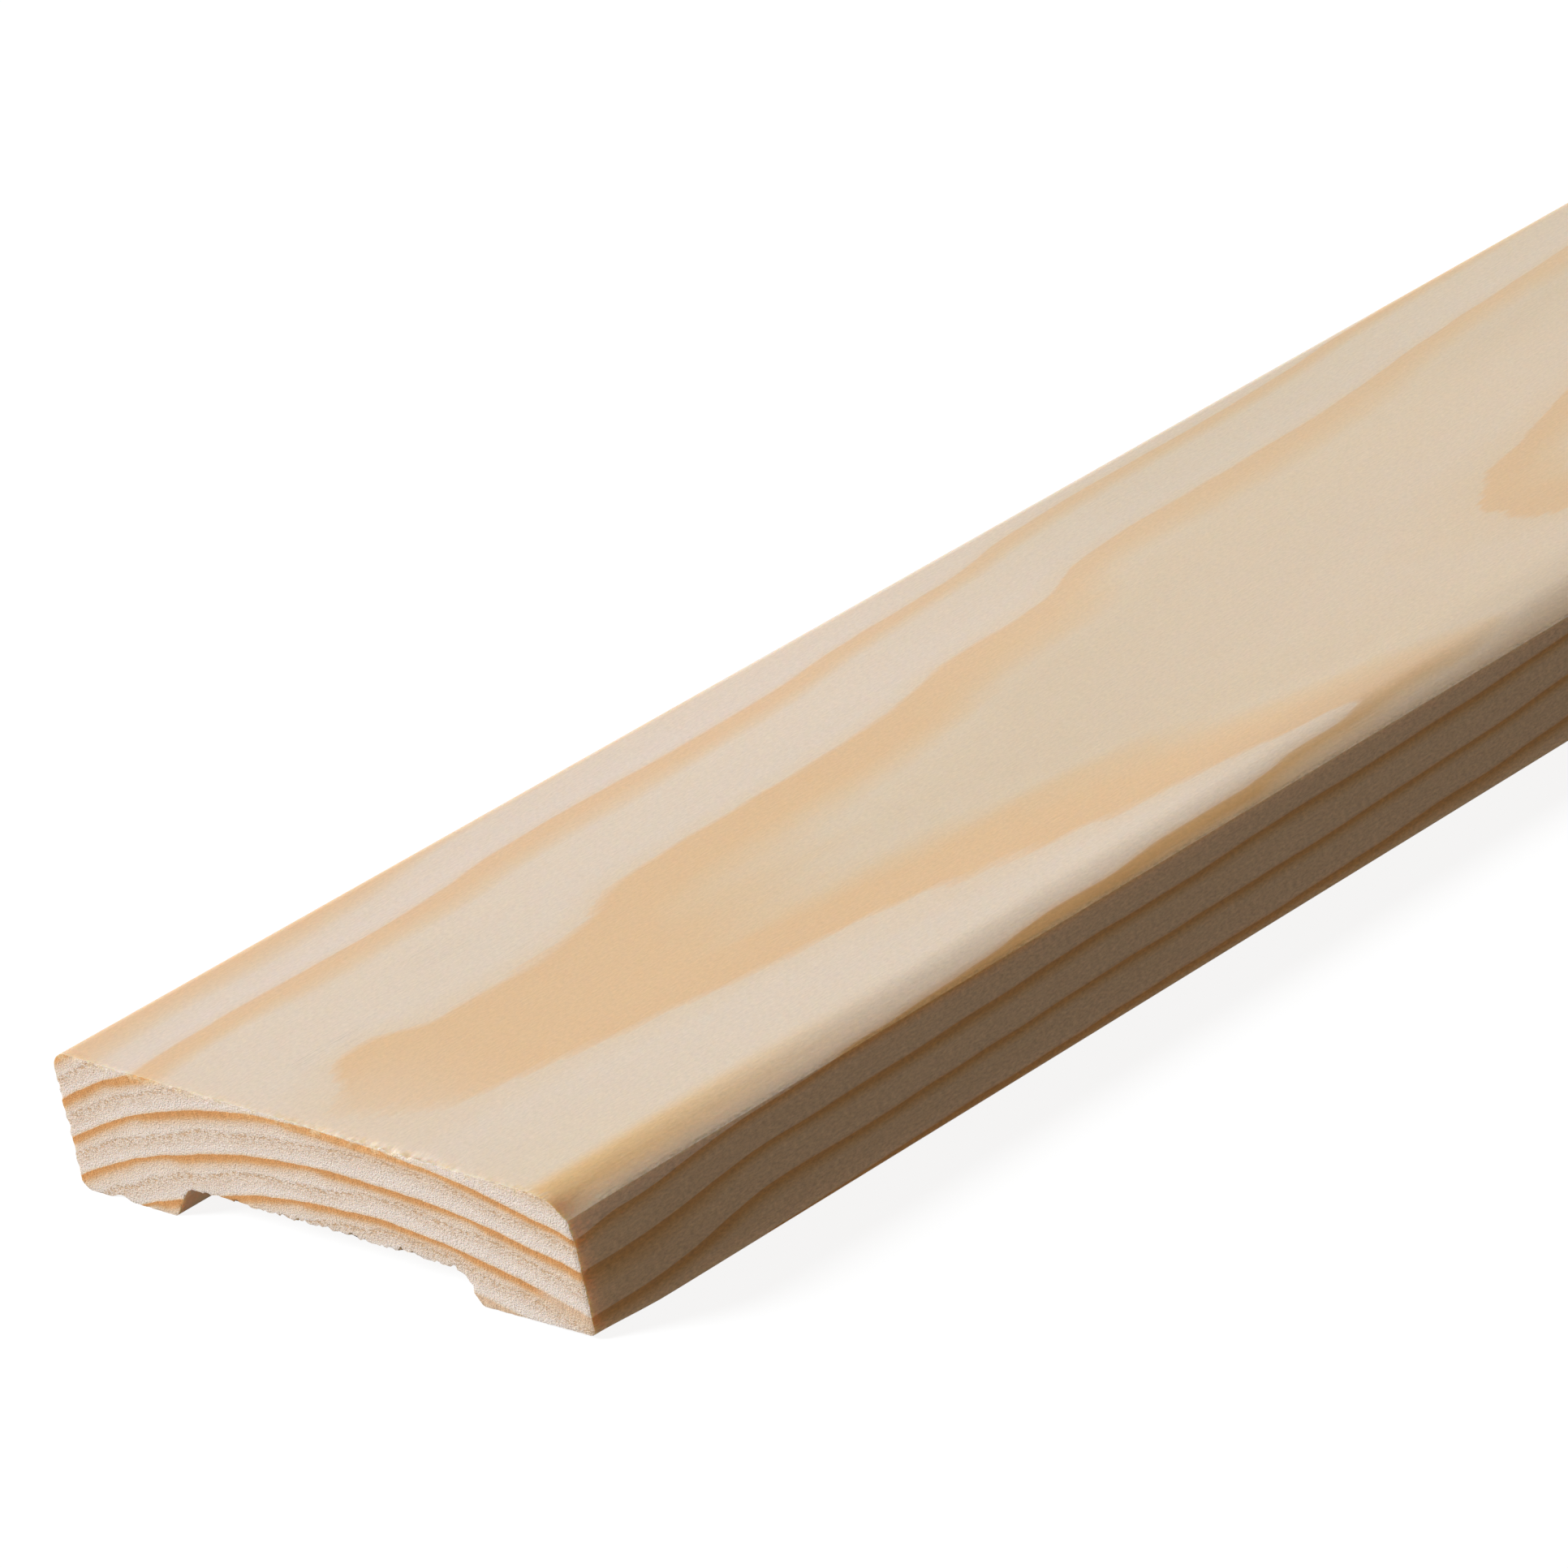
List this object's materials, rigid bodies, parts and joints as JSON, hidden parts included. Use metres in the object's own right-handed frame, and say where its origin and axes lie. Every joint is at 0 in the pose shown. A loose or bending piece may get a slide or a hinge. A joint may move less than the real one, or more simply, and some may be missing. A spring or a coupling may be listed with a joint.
{
  "type": "trim strip",
  "caption": "Flat softwood casing strip with a small round on its thick edge, a soft shoulder on its thin edge and a wide shallow relief groove in the back.",
  "frame": {"origin": "midway along the strip and midway across its width, on the plane of the two back lands", "axes": "+X along the length, away from the end that the picture shows; +Y across the width towards the thick edge; +Z out of the face"},
  "size_m": [2.2, 0.06, 0.0122],
  "materials": {
    "planed_softwood": "planed, bare, unsealed softwood with clear growth rings; sawn ends"
  },
  "bodies": {
    "root": {"trim_strip": "planed_softwood"}
  },
  "joints": []
}
